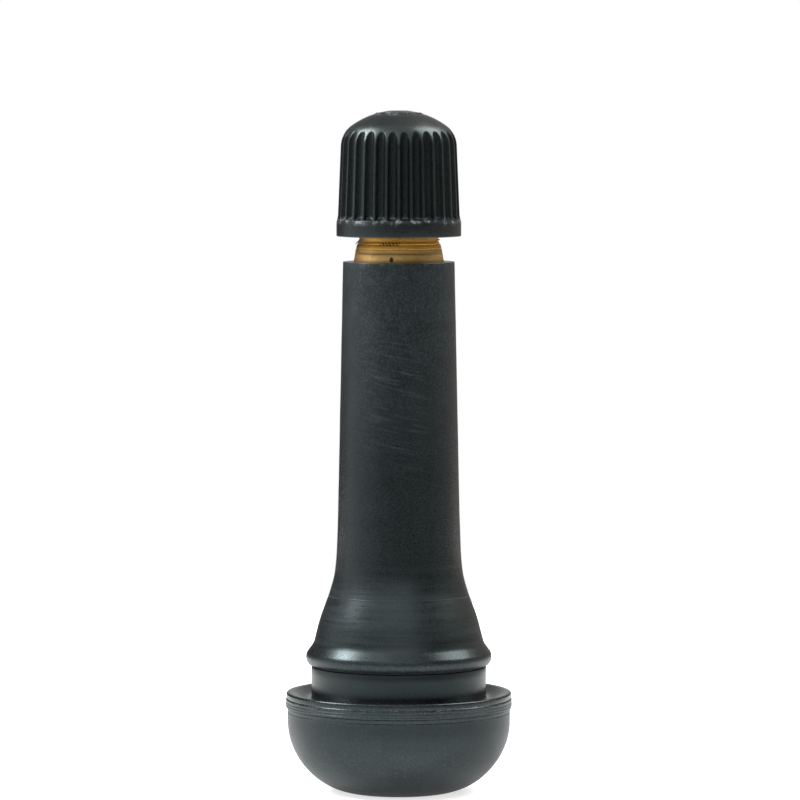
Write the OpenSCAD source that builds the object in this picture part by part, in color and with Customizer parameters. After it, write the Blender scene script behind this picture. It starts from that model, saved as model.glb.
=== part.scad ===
/* [Rim fit] */
// Diameter of the neck that plugs the hole in the wheel rim
neck_d = 16.4; // [15:0.1:18]
// Thickness of rim held between the base and the snap bead
rim_t = 2.6; // [1.8:0.1:4]
// How far the snap bead stands out past the neck
bead_proud = 0.5; // [0.3:0.02:1.2]
// Height from the rim groove to the crest of the bead
bead_h = 0.92; // [0.6:0.05:1.5]
// Width of the undercut below the bead
under_w = 0.2; // [0.1:0.02:0.6]
// Depth of the undercut
under_in = 0.06; // [0.06:0.01:0.2]
// Width of the seat round the neck
seat_w = 2.24; // [1.8:0.02:4]
// Width of the sealing lip at the seat's edge
lip_w = 0.55; // [0.4:0.05:1]
// Depth of the dish between the lip and the neck
dish_in = 0.54; // [0.2:0.02:0.8]

/* [Base] */
// Height from the foot to the rim seat
base_h = 9.35; // [8:0.05:12]
// Radius of the rounded lower edge
base_edge_r = 6.9; // [5:0.1:8]
// Diameter of the flat foot
foot_d = 9.6; // [8:0.1:12]
// Diameter of the air hole in the foot
air_d = 4.6; // [3:0.1:6]
// How far the moulded ring stands out past the base
ring_proud = 0.18; // [0.1:0.01:0.5]
// Height of the moulded ring
ring_h = 0.9; // [0.5:0.02:1.2]
// Height of the lip over the ring
lip_h = 0.55; // [0.4:0.05:1]
// Height of the step under the ring
step_h = 0.38; // [0.3:0.02:0.8]
// How far the step stands out past the base
step_proud = 0.04; // [0.02:0.01:0.2]

/* [Sleeve] */
// Length from the rim seat to the open end of the stem
effective_l = 51.15; // [42:0.05:65]
// Length of bare brass above the sleeve
bare_l = 10.84; // [9.5:0.02:14]
// Rubber wall round the collar at the end of the sleeve
sleeve_wall = 0.99; // [0.7:0.01:2]
// Draft of the sleeve on each side, in degrees
sleeve_draft = 1.15; // [0.3:0.05:2]
// Slope of the flare, in degrees
flare_slope = 21.5; // [14:0.5:30]
// Slope of the skirt between the flare and the bead, in degrees
skirt_slope = 13.8; // [6:0.2:18]
// Height of the skirt's lower end above the bead's crest
skirt_gap = 1.16; // [0.8:0.02:2]
// Height of the skirt
skirt_h = 2.48; // [1.5:0.02:4]
// How far the skirt's lower end stands in from the neck
skirt_in = 0.23; // [0:0.01:0.3]

/* [Stem] */
// Outside diameter of the cap thread
thread_d = 7.7; // [7:0.05:9]
// Length of the cap thread
thread_l = 8.25; // [8:0.05:12]
// How far the collar stands out past the thread at the sleeve
collar_proud = 0.38; // [0.2:0.01:0.8]
// How far the collar's upper edge stands out past the thread
collar_top_proud = 0.08; // [0.02:0.01:0.15]
// Height of the slope from the collar's upper edge in to the relief
collar_slope_h = 0.62; // [0.3:0.02:0.7]
// How far the relief under the thread is cut in
relief_in = 0.16; // [0.1:0.01:0.3]
// Width of the relief
relief_w = 0.72; // [0.4:0.02:0.9]
// Depth of the collar in the rubber
collar_in = 1.2; // [0.8:0.1:3]
// Diameter of the shank in the rubber
shank_d = 7; // [6.4:0.1:8]
// Number of bond grooves in the shank
bond_n = 6; // [2:1:8]
// Width of a bond groove
bond_w = 0.9; // [0.5:0.05:1.5]
// Depth of a bond groove
bond_in = 0.4; // [0.2:0.05:0.6]
// Diameter of the anchor flange at the lower end
anchor_d = 9.6; // [8.5:0.1:11]
// Thickness of the anchor flange
anchor_t = 1.3; // [0.8:0.1:2]
// Height of the stem's lower end above the foot
anchor_z = 4.2; // [3:0.1:5.5]

/* [Core chamber] */
// Diameter of the core thread
core_d = 5.28; // [5:0.02:6]
// Depth of the core thread from the stem's end
core_deep = 7; // [6:0.1:9]
// Chamfer at the stem's mouth
mouth_c = 0.35; // [0.2:0.05:0.6]
// Diameter at the top of the gasket's seat
taper_d = 4.6; // [4.3:0.05:4.9]
// Length of the gasket's seat
taper_l = 1.5; // [1:0.1:2.5]
// Diameter of the chamber under the seat
chamber_d = 4; // [3.8:0.05:4.2]
// Length of the chamber
chamber_l = 10.6; // [9.5:0.1:14]
// Diameter of the airway under the chamber
airway_d = 3; // [2:0.1:3.6]

/* [Core] */
// Depth of the pin's end in the stem
pin_deep = 0.3; // [0.1:0.05:1]
// Depth of the plug's bridge in the stem
bridge_deep = 1.9; // [1.7:0.05:2.5]
// Height of the bridge above the plug's ring
bridge_up = 0.9; // [0.5:0.05:1.2]
// Width of the bridge
bridge_w = 1.9; // [1.6:0.05:2.4]
// Thickness of the bridge
bridge_t = 1.7; // [1.2:0.05:1.8]
// Length of the plug's threaded ring
plug_l = 3.2; // [2.8:0.1:4]
// Wall of the plug's ring
plug_wall = 0.86; // [0.6:0.02:0.95]
// Thickness of the plug's crimped lip
crimp_t = 0.5; // [0.3:0.05:0.8]
// How far the crimped lip reaches in
crimp_in = 0.3; // [0.2:0.02:0.35]
// Thickness of the barrel's head
head_t = 0.6; // [0.4:0.05:0.9]
// Outside diameter of the barrel
barrel_d = 2.9; // [2.7:0.05:3.1]
// Bore of the barrel
barrel_bore = 2.1; // [2:0.02:2.3]
// Length of the barrel below the gasket
barrel_l = 6; // [5:0.1:7]
// Bore at the barrel's lower end
port_d = 1.6; // [1.4:0.05:1.8]
// Thickness of the barrel's lower end
port_t = 1.1; // [0.8:0.1:1.6]
// Length of the gasket
gasket_l = 1.1; // [0.8:0.05:1.3]
// Diameter of the pin above its collar
pin_d = 1.2; // [1:0.02:1.4]
// Diameter of the pin below its collar
tail_d = 0.84; // [0.7:0.02:0.95]
// Thickness of the pin's collar
pin_collar_t = 0.5; // [0.3:0.05:0.8]
// Free stroke of the pin
stroke = 1.3; // [1:0.05:1.5]
// Thickness of the spring wire
wire_d = 0.26; // [0.18:0.02:0.3]
// Coils of the spring
coils = 11; // [8:1:13]
// Wall of the cup
cup_wall = 0.18; // [0.1:0.02:0.25]
// Outside diameter of the cup
cup_d = 3.1; // [2.9:0.05:3.3]
// Thickness of the cup's washer
washer_t = 0.7; // [0.5:0.05:1]
// How far the washer stands out of the cup
washer_up = 0.22; // [0.1:0.02:0.3]
// Thickness of the cup's floor
cup_t = 0.4; // [0.3:0.05:0.6]
// Thickness of the pin's staked end
stake_t = 0.4; // [0.3:0.05:0.6]

/* [Cap] */
// How far the cap reaches down past the stem's end
cap_reach = 8.48; // [7:0.02:9]
// Wall of the cap at the foot of the ribs
cap_wall = 1.78; // [1.4:0.02:2.5]
// Thickness of the cap's top
cap_top_t = 2.17; // [1.6:0.01:3]
// Draft of the ribs on each side, in degrees
cap_draft = 2.35; // [1:0.05:3.5]
// Radius of the cap's crown
crown_r = 7.5; // [7:0.1:12]
// Radius of the cap's shoulder
shoulder_r = 2.45; // [1.5:0.05:2.6]
// How far the band stands out past the ribs
band_proud = 0.13; // [0.1:0.01:0.4]
// Height of the band
band_h = 1.2; // [0.8:0.05:2]
// Height of the bevel over the band
bevel_h = 0.82; // [0.4:0.02:1.2]
// Number of flutes
flute_n = 30; // [20:1:36]
// Depth of a flute at its foot
flute_in = 0.5; // [0.3:0.02:0.6]
// Radius of a flute
flute_r = 0.44; // [0.3:0.01:0.5]
// Draft of the flutes, in degrees
flute_draft = 1.2; // [0.5:0.1:2.3]
// Thickness of the cap's seal
seal_t = 1.1; // [0.8:0.05:1.5]
// Hole in the cap's seal
seal_hole_d = 3; // [2:0.1:4]
// Chamfer at the cap's mouth
cap_mouth_c = 0.45; // [0.2:0.05:0.7]

/* [Fits] */
// Clearance on the radius of the cap's thread
cap_fit = 0.06; // [0.03:0.01:0.1]
// Clearance on the radius of the plug's thread
plug_fit = 0.03; // [0.02:0.01:0.06]
// Clearance on the radius of the barrel's head and neck in the plug
swivel_fit = 0.05; // [0.03:0.01:0.08]
// Clearance on the radius of the pin in the bridge
pin_fit = 0.08; // [0.05:0.01:0.1]
// Clearance on the radius of the pin's collar in the barrel
collar_fit = 0.1; // [0.06:0.01:0.12]
// Clearance on the radius of the spring in the barrel
spring_fit = 0.1; // [0.06:0.01:0.15]

/* [Hidden] */
$fn = 96;

// Base and rim fit
neck_r = neck_d / 2;
base_r = neck_r + seat_w;
bead_r = neck_r + bead_proud;
lip_r = base_r + ring_proud - 0.04;
dish_z = base_h - dish_in;
edge_x = base_r - base_edge_r;
edge_z = sqrt(pow(base_edge_r, 2) - pow(foot_d / 2 - edge_x, 2));
ring_z = base_h - lip_h - ring_h;
step_z = ring_z - step_h;
groove_z = base_h + rim_t;
bead_z = groove_z + bead_h;
flank_r = neck_r + 0.62 * bead_proud;
flank_z = groove_z + 0.3 * bead_h;

// Stem
stem_z = base_h + effective_l;
sleeve_z = stem_z - bare_l;
thread_z = stem_z - thread_l;
thread_r = thread_d / 2;
collar_r = thread_r + collar_proud;
collar_top_r = thread_r + collar_top_proud;
relief_z = thread_z - relief_w;
collar_top_z = relief_z - collar_slope_h;
shank_r = shank_d / 2;
shank_z = sleeve_z - collar_in;
bond_step = 2 * bond_w;
bond_z = shank_z - 2 * bond_w;

// Sleeve and flare
sleeve_r = collar_r + sleeve_wall;
skirt_z = bead_z + skirt_gap;
skirt_r = neck_r - skirt_in;
flare_z = skirt_z + skirt_h;
flare_r = skirt_r - skirt_h * tan(skirt_slope);
waist_z = (flare_r + flare_z * tan(flare_slope) - sleeve_r - sleeve_z * tan(sleeve_draft))
    / (tan(flare_slope) - tan(sleeve_draft));
flare_l = (waist_z - flare_z) / cos(flare_slope);
flare_round = min(18, 0.3 * flare_l / tan((flare_slope - skirt_slope) / 2));
waist_round = min(16, 0.68 * flare_l / tan((flare_slope - sleeve_draft) / 2));
waist_r = sleeve_r + (sleeve_z - waist_z) * tan(sleeve_draft);

// Core, measured down from the stem's end
core_bore_r = core_d / 2;
taper_z = stem_z - core_deep;
chamber_z = taper_z - taper_l;
chamber_foot_z = chamber_z - chamber_l;
function taper_r(z) = chamber_d / 2 + (taper_d - chamber_d) / 2 * (z - chamber_z) / taper_l;
gasket_z = taper_z - (taper_l + gasket_l) / 2;
bridge_z = stem_z - bridge_deep;
plug_z = bridge_z - bridge_up;
plug_foot_z = plug_z - plug_l;
plug_r = core_bore_r - plug_fit;
plug_bore_r = plug_r - plug_wall;
crimp_r = plug_bore_r - crimp_in;
head_z = plug_foot_z + crimp_t;
barrel_top_z = head_z + head_t;
barrel_r = barrel_d / 2;
flange_z = gasket_z + gasket_l;
flange_t = 0.5;
flange_r = taper_r(taper_z) - 0.3;
port_z = gasket_z - barrel_l;
spring_z = port_z + port_t;
collar_z = barrel_top_z - stroke - pin_collar_t;
coil_r = barrel_bore / 2 - spring_fit - wire_d / 2;
washer_z = port_z - washer_t;
cup_z = washer_z - cup_t;
cup_top_z = port_z - washer_up;
washer_r = cup_d / 2 - cup_wall;
pin_top_z = stem_z - pin_deep;

// Cap
bore_r = thread_r + cap_fit;
cap_z = stem_z - cap_reach;
ceiling_z = stem_z + seal_t;
cap_top_z = ceiling_z + cap_top_t;
rib_r = bore_r + cap_wall;
band_r = rib_r + band_proud;
band_z = cap_z + band_h;
ledge_z = band_z + bevel_h;
crown_z = cap_top_z - crown_r;
shoulder_reach = crown_r - shoulder_r;
shoulder_a = rib_r - shoulder_r / cos(cap_draft) + ledge_z * tan(cap_draft);
shoulder_b = shoulder_a * tan(cap_draft) + crown_z;
shoulder_c = shoulder_a * shoulder_a + crown_z * crown_z - shoulder_reach * shoulder_reach;
shoulder_z = (shoulder_b + sqrt(shoulder_b * shoulder_b - shoulder_c / pow(cos(cap_draft), 2)))
    * pow(cos(cap_draft), 2);
shoulder_x = shoulder_a - shoulder_z * tan(cap_draft);
seal_r = bore_r - 0.08;

// Rounded corners of an outline, each corner given as [x, y, radius], anticlockwise
function unit(v) = v / norm(v);
function swing(v, a) = [v[0] * cos(a) - v[1] * sin(a), v[0] * sin(a) + v[1] * cos(a)];
function corner_turn(a, b, c) = cross(unit(b - a), unit(c - b));
function corner_cut(a, b, c, r) = r * tan(acos(unit(b - a) * unit(c - b)) / 2);
function corner_start(a, b, c, r) = b + unit(a - b) * corner_cut(a, b, c, r);
function corner_end(a, b, c, r) = b + unit(c - b) * corner_cut(a, b, c, r);
function corner_centre(a, b, c, r) =
    b + unit(unit(a - b) + unit(c - b)) * norm([r, corner_cut(a, b, c, r)]);

// A disc's sector, a hair over size so that it crosses the edges it rounds
module corner_sector(mid, start, end, r, side) {
    intersection() {
        translate(mid) circle(r + 0.001 + r / 3000);
        polygon([mid, mid + 2 * swing(start - mid, -side), mid + 2 * (start + end - 2 * mid),
            mid + 2 * swing(end - mid, side)]);
    }
}

module rounded_outline(corners) {
    n = len(corners);
    at = [for (p = corners) [p[0], p[1]]];
    r = [for (p = corners) p[2]];
    function before(i) = at[(i + n - 1) % n];
    function after(i) = at[(i + 1) % n];
    function start(i) = corner_start(before(i), at[i], after(i), r[i]);
    function end(i) = corner_end(before(i), at[i], after(i), r[i]);
    function mid(i) = corner_centre(before(i), at[i], after(i), r[i]);
    function turn(i) = corner_turn(before(i), at[i], after(i));
    difference() {
        union() {
            polygon([for (i = [0:n - 1]) each r[i] > 0 ? [start(i), end(i)] : [at[i]]]);
            for (i = [0:n - 1])
                if (r[i] > 0 && turn(i) > 0)
                    corner_sector(mid(i), start(i), end(i), r[i], 8);
        }
        for (i = [0:n - 1])
            if (r[i] > 0 && turn(i) < 0)
                corner_sector(mid(i), start(i), end(i), r[i], -8);
    }
}

// Outlines turned round the axis
module base_outline() {
    intersection() {
        union() {
            translate([edge_x, edge_z]) circle(base_edge_r);
            translate([0, edge_z]) square([base_r, ring_z - edge_z]);
            square([edge_x, edge_z]);
        }
        square([base_r, ring_z]);
    }
    translate([0, step_z]) square([base_r + step_proud, step_h]);
    rounded_outline([[0, ring_z, 0], [base_r + ring_proud, ring_z, 0.14],
        [base_r + ring_proud, ring_z + ring_h, 0.14], [0, ring_z + ring_h, 0]]);
    rounded_outline([[0, base_h - lip_h, 0], [lip_r, base_h - lip_h, 0.1], [lip_r, base_h, 0.2],
        [lip_r - lip_w, base_h, 0], [neck_r + 0.3, dish_z, 0], [0, dish_z, 0]]);
}

module sleeve_outline() {
    crest_r = bead_r + 0.08;
    intersection() {
        rounded_outline([[0, ring_z, 0], [neck_r, ring_z, 0], [neck_r, groove_z - under_w, 0],
            [neck_r - under_in, groove_z - under_w, 0], [neck_r - under_in, groove_z, 0.05],
            [flank_r, flank_z, 0.3 * bead_h], [crest_r, bead_z, 0.5 * bead_h],
            [skirt_r, skirt_z, 0.6], [flare_r, flare_z, flare_round],
            [waist_r, waist_z, waist_round], [sleeve_r, sleeve_z, 0.18], [0, sleeve_z, 0]]);
        square([base_r, sleeve_z]);
    }
}

module stem_outline() {
    difference() {
        rounded_outline([[0, anchor_z, 0], [anchor_d / 2, anchor_z, 0.3],
            [anchor_d / 2, anchor_z + anchor_t, 0.3], [shank_r, anchor_z + anchor_t, 0.6],
            [shank_r, shank_z, 0], [collar_r, shank_z + 0.3, 0], [collar_r, sleeve_z, 0],
            [collar_top_r, collar_top_z, 0], [thread_r - relief_in, relief_z, 0],
            [thread_r - relief_in, thread_z, 0], [thread_r, thread_z + relief_in, 0],
            [thread_r, stem_z - mouth_c, 0], [thread_r - mouth_c, stem_z, 0], [0, stem_z, 0]]);
        for (i = [0:bond_n - 1])
            translate([shank_r - bond_in, bond_z - i * bond_step]) square([shank_r, bond_w]);
    }
}

module bore_outline() {
    polygon([[0, anchor_z - 1], [air_d / 2, anchor_z - 1], [air_d / 2, anchor_z],
        [airway_d / 2, anchor_z + air_d / 2 - airway_d / 2], [airway_d / 2, chamber_foot_z - 0.5],
        [chamber_d / 2, chamber_foot_z], [chamber_d / 2, chamber_z], [taper_d / 2, taper_z],
        [core_bore_r, taper_z], [core_bore_r, stem_z - mouth_c], [core_bore_r + mouth_c, stem_z],
        [core_bore_r + mouth_c, stem_z + 1], [0, stem_z + 1]]);
}

module cap_outline() {
    shoulder = [shoulder_x, shoulder_z];
    crown = [0, crown_z];
    shoulder_top = crown + unit(shoulder - crown) * crown_r;
    shoulder_foot = shoulder + shoulder_r * [cos(cap_draft), sin(cap_draft)];
    intersection() {
        translate(crown) circle(crown_r);
        polygon([[0, ledge_z], [rib_r, ledge_z], shoulder_foot, shoulder_top, [0, cap_top_z + 2]]);
    }
    corner_sector(shoulder, shoulder_foot, shoulder_top, shoulder_r, 6);
    rounded_outline([[0, cap_z, 0], [band_r, cap_z, 0.25], [band_r, band_z, 0.3],
        [rib_r, ledge_z, 0], [0, ledge_z, 0]]);
}

module flutes() {
    for (i = [0:flute_n - 1])
        rotate([0, 0, (i + 0.5) * 360 / flute_n - 90])
            translate([rib_r - flute_in + flute_r, 0, ledge_z])
                rotate([0, -flute_draft, 0]) cylinder(r = flute_r, h = cap_top_z - ledge_z);
}

// Pieces
module rubber_body() {
    color("dimgray") difference() {
        rotate_extrude() union() {
            base_outline();
            sleeve_outline();
        }
        rotate_extrude() stem_outline();
        translate([0, 0, -1]) cylinder(d = air_d, h = anchor_z + 2);
    }
}

module brass_stem() {
    color("goldenrod") rotate_extrude() difference() {
        stem_outline();
        bore_outline();
    }
}

module core_plug() {
    color("gold") difference() {
        union() {
            translate([0, 0, plug_foot_z]) difference() {
                cylinder(r = plug_r, h = plug_l);
                translate([0, 0, -1]) cylinder(r = crimp_r, h = plug_l + 2);
                translate([0, 0, crimp_t]) cylinder(r = plug_bore_r, h = plug_l);
            }
            intersection() {
                translate([-plug_r, -bridge_w / 2, bridge_z - bridge_t])
                    cube([2 * plug_r, bridge_w, bridge_t]);
                translate([0, 0, plug_foot_z]) cylinder(r = plug_r, h = plug_l + bridge_up);
            }
        }
        translate([0, 0, bridge_z - bridge_t - 1]) cylinder(d = pin_d + 2 * pin_fit, h = bridge_t + 2);
    }
}

module core_barrel() {
    head_r = plug_bore_r - swivel_fit;
    neck = crimp_r - swivel_fit;
    color("darkgoldenrod") rotate_extrude() polygon([
        [port_d / 2, port_z], [barrel_r - 0.25, port_z], [barrel_r, port_z + 0.6],
        [barrel_r, flange_z], [flange_r, flange_z], [flange_r, flange_z + flange_t],
        [neck, flange_z + flange_t + 0.2], [neck, head_z], [head_r, head_z],
        [head_r, barrel_top_z], [barrel_bore / 2, barrel_top_z], [barrel_bore / 2, spring_z],
        [port_d / 2, spring_z]]);
}

module barrel_gasket() {
    color("black") rotate_extrude() polygon([[barrel_r, gasket_z], [taper_r(gasket_z), gasket_z],
        [taper_r(flange_z), flange_z], [barrel_r, flange_z]]);
}

module core_pin() {
    tail_r = tail_d / 2;
    pin_r = pin_d / 2;
    stop_r = barrel_bore / 2 - collar_fit;
    color("silver") rotate_extrude() rounded_outline([[0, cup_z - stake_t, 0],
        [tail_r + 0.3, cup_z - stake_t, 0.15], [tail_r + 0.3, cup_z, 0], [tail_r, cup_z, 0],
        [tail_r, collar_z, 0], [stop_r, collar_z, 0], [stop_r, collar_z + pin_collar_t, 0],
        [pin_r, collar_z + pin_collar_t, 0], [pin_r, pin_top_z, 0.2], [0, pin_top_z, 0]]);
}

module core_spring() {
    sides = 8;
    steps = 20;
    closed = wire_d * 1.06;
    pitch = (collar_z - spring_z - wire_d - 2 * closed) / (coils - 2);
    function rise(t) = wire_d / 2 + closed * (min(t, 1) + max(t - coils + 1, 0))
        + pitch * min(max(t - 1, 0), coils - 2);
    rings = coils * steps;
    points = [for (k = [0:rings], s = [0:sides - 1])
        let (a = 360 * k / steps, b = 360 * s / sides, x = coil_r + wire_d / 2 * cos(b))
        [x * cos(a), x * sin(a), spring_z + rise(k / steps) + wire_d / 2 * sin(b)]];
    walls = [for (k = [0:rings - 1], s = [0:sides - 1])
        let (t = (s + 1) % sides)
        [k * sides + s, (k + 1) * sides + s, (k + 1) * sides + t, k * sides + t]];
    ends = [[for (s = [0:sides - 1]) s], [for (s = [0:sides - 1]) (rings + 1) * sides - 1 - s]];
    color("lightsteelblue") polyhedron(points, concat(walls, ends));
}

module valve_cup() {
    color("gold") rotate_extrude() polygon([[tail_d / 2, cup_z], [cup_d / 2 - 0.15, cup_z],
        [cup_d / 2, cup_z + 0.15], [cup_d / 2, cup_top_z], [washer_r, cup_top_z],
        [washer_r, washer_z], [tail_d / 2, washer_z]]);
}

module cup_washer() {
    color("black") rotate_extrude() polygon([[tail_d / 2, washer_z], [washer_r, washer_z],
        [washer_r, port_z], [tail_d / 2, port_z]]);
}

module cap_shell() {
    color("darkslategray") difference() {
        rotate_extrude() cap_outline();
        flutes();
        translate([0, 0, cap_z - 1]) cylinder(r = bore_r, h = ceiling_z - cap_z + 1);
        translate([0, 0, cap_z - 0.01])
            cylinder(r1 = bore_r + cap_mouth_c, r2 = bore_r, h = cap_mouth_c);
    }
}

module cap_seal() {
    color("dimgray") translate([0, 0, stem_z]) difference() {
        cylinder(r = seal_r, h = seal_t);
        translate([0, 0, -1]) cylinder(d = seal_hole_d, h = seal_t + 2);
    }
}

rubber_body();
brass_stem();
core_plug();
core_barrel();
barrel_gasket();
core_pin();
core_spring();
valve_cup();
cup_washer();
cap_shell();
cap_seal();
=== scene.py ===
import bpy
import bmesh
import math
from mathutils import Matrix, Vector, noise


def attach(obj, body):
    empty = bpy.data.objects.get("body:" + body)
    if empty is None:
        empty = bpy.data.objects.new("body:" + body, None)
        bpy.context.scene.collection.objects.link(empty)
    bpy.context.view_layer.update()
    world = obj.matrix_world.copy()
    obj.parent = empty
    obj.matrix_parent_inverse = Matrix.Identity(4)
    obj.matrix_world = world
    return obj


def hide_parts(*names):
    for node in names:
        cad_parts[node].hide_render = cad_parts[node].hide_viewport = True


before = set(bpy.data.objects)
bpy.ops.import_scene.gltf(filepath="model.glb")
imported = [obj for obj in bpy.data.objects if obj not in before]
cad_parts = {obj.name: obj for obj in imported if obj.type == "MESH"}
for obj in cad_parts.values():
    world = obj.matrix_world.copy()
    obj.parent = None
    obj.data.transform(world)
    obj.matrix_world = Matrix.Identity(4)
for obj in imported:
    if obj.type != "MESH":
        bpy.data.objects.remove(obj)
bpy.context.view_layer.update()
mm = 0.001
weld = 0.002 * mm  # points closer than this are merged
tallest = 64 * mm  # colour curves by height run from the foot to here
capPitch = 0.79375  # 32 threads to the inch


# outlines are drawn in the plane y = 0, in millimetres, as (radius, height, rounding, segments)
def drawOutline(bm, points, closed=True):
    verts = [bm.verts.new((p[0] * mm, 0, p[1] * mm)) for p in points]
    for a, b in zip(verts, verts[1:]):
        bm.edges.new((a, b))
    if closed:
        bm.edges.new((verts[-1], verts[0]))
    for vert, point in zip(verts, points):
        if len(point) > 2:
            bmesh.ops.bevel(bm, geom=[vert], offset=point[2] * mm, offset_type="OFFSET",
                            segments=point[3], profile=0.5, affect="VERTICES", material=-1)


def splitLongEdges(bm, longest):
    for edge in list(bm.edges):
        cuts = int(edge.calc_length() / (longest * mm))
        if cuts:
            bmesh.ops.subdivide_edges(bm, edges=[edge], cuts=cuts)


# goes on from the outline's end on an arc about a centre in its plane
def addArc(bm, ends, centre, angle, steps):
    arc = bmesh.ops.spin(bm, geom=ends, cent=(centre[0] * mm, 0, centre[1] * mm), axis=(0, -1, 0),
                         dvec=(0, 0, 0), angle=math.radians(angle), steps=steps,
                         use_merge=False, use_duplicate=False)
    return [g for g in arc["geom_last"] if isinstance(g, bmesh.types.BMVert)]


# a wedge of the outline is turned first, then repeated round the axis
def turnWedge(bm, wedges, steps):
    bmesh.ops.spin(bm, geom=bm.verts[:] + bm.edges[:], cent=(0, 0, 0), axis=(0, 0, 1), dvec=(0, 0, 0),
                   angle=math.tau / wedges, steps=steps, use_merge=False, use_duplicate=False)
    bmesh.ops.remove_doubles(bm, verts=bm.verts[:], dist=weld)


def repeatWedge(bm, wedges):
    bmesh.ops.spin(bm, geom=bm.verts[:] + bm.edges[:] + bm.faces[:], cent=(0, 0, 0), axis=(0, 0, 1),
                   dvec=(0, 0, 0), angle=math.tau * (wedges - 1) / wedges, steps=wedges - 1,
                   use_merge=False, use_duplicate=True)
    bmesh.ops.remove_doubles(bm, verts=bm.verts[:], dist=weld)
    bmesh.ops.recalc_face_normals(bm, faces=bm.faces[:])


# one closed ridge wound up the axis, right-handed; profile points are (radius, offset along the axis)
def windRidge(bm, profile, start, turns, pitch, perTurn, angle):
    ridge = bmesh.new()
    verts = [ridge.verts.new((r * mm, 0, (start + dz) * mm)) for r, dz in profile]
    face = ridge.faces.new(verts)
    bmesh.ops.rotate(ridge, verts=verts, cent=(0, 0, 0), matrix=Matrix.Rotation(angle, 3, "Z"))
    steps = int(turns * perTurn)
    bmesh.ops.spin(ridge, geom=verts + face.edges[:] + [face], cent=(0, 0, 0), axis=(0, 0, 1),
                   dvec=(0, 0, pitch * mm / perTurn), angle=math.tau * steps / perTurn, steps=steps,
                   use_merge=False, use_duplicate=False)
    bmesh.ops.recalc_face_normals(ridge, faces=ridge.faces[:])
    wound = bpy.data.meshes.new("ridge")
    ridge.to_mesh(wound)
    ridge.free()
    bm.from_mesh(wound)
    bpy.data.meshes.remove(wound)


def finishPiece(bm, name, body, node, material, sharp):
    mesh = bpy.data.meshes.new(name)
    bm.to_mesh(mesh)
    bm.free()
    mesh.polygons.foreach_set("use_smooth", [True] * len(mesh.polygons))
    mesh.set_sharp_from_angle(angle=math.radians(sharp))
    mesh.materials.append(material)
    piece = bpy.data.objects.new(name, mesh)
    bpy.context.scene.collection.objects.link(piece)
    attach(piece, body)
    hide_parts(node)
    print(name, len(mesh.vertices), "vertices")


# node helpers
def put(tree, kind, values=None, **settings):
    node = tree.nodes.new("ShaderNode" + kind)
    for key, value in settings.items():
        setattr(node, key, value)
    for key, value in (values or {}).items():
        node.inputs[key].default_value = value
    return node


def wire(tree, source, node, key):
    tree.links.new(source, node.inputs[key])


# a plain value is set on the socket, a colour gets its alpha, and anything else is wired
def feed(tree, node, key, value):
    if isinstance(value, (int, float)):
        node.inputs[key].default_value = value
    elif isinstance(value, tuple):
        node.inputs[key].default_value = (*value, 1)
    else:
        wire(tree, value, node, key)


def math2(tree, operation, a, b=0.5, clamp=False):
    node = put(tree, "Math", operation=operation, use_clamp=clamp)
    feed(tree, node, 0, a)
    feed(tree, node, 1, b)
    return node.outputs[0]


def times(tree, first, *others):
    for other in others:
        first = math2(tree, "MULTIPLY", first, other)
    return first


def plus(tree, first, *others):
    for other in others:
        first = math2(tree, "ADD", first, other)
    return first


def spread(tree, source, low, high, toLow=0.0, toHigh=1.0):
    node = put(tree, "MapRange", {"From Min": low, "From Max": high, "To Min": toLow, "To Max": toHigh})
    wire(tree, source, node, "Value")
    return node.outputs[0]


def mixColor(tree, factor, a, b, blend="MIX"):
    node = put(tree, "Mix", data_type="RGBA", blend_type=blend)
    for key, value in ((0, factor), (6, a), (7, b)):
        feed(tree, node, key, value)
    return node.outputs[2]


# grey levels along a value, stops in rising order as (value, level)
def levels(tree, value, low, high, stops):
    node = put(tree, "ValToRGB")
    wire(tree, spread(tree, value, low, high), node, "Fac")
    for index, (at, level) in enumerate(stops):
        place = (at - low) / (high - low)
        spot = node.color_ramp.elements[index] if index < 2 else node.color_ramp.elements.new(place)
        spot.position = place
        spot.color = (level, level, level, 1)
    return node.outputs["Color"]


# grey levels up the axis, stops as (height in mm, level)
def byHeight(tree, height, stops):
    return levels(tree, height, 0.0, tallest, [(z * mm, level) for z, level in stops])


# grey levels round the axis, stops as (degrees from the front towards the right, level)
def byTurn(tree, turn, stops):
    return levels(tree, turn, -math.pi, math.pi, [(math.radians(degrees), level) for degrees, level in stops])


def turnOf(tree, parts):
    return math2(tree, "ARCTAN2", parts.outputs[0], times(tree, parts.outputs[1], -1.0))


# every group takes a vector and some plain values
def newGroup(name, inputs, outputs):
    group = bpy.data.node_groups.new(name, "ShaderNodeTree")
    group.interface.new_socket(name="Vector", in_out="INPUT", socket_type="NodeSocketVector")
    for direction, labels in (("INPUT", inputs), ("OUTPUT", outputs)):
        for label in labels:
            group.interface.new_socket(name=label, in_out=direction, socket_type="NodeSocketFloat")
    return group, group.nodes.new("NodeGroupInput").outputs, group.nodes.new("NodeGroupOutput")


def placeGroup(tree, group, coords, values):
    node = put(tree, "Group", values, node_tree=group)
    wire(tree, coords, node, "Vector")
    return node.outputs


# cloudy bloom, specks and grain, each finer than the one before; shown is the part of the noise in use
mottleLayers = {"Blotch": {"finer": 1.0, "detail": 5.0, "roughness": 0.62, "shown": (0.34, 0.7)},
                "Specks": {"finer": 9.0, "detail": 2.0, "roughness": 0.5, "shown": (0.53, 0.68)},
                "Grain": {"finer": 14.0, "detail": 3.0, "roughness": 0.6, "shown": (0.0, 1.0)}}


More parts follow.
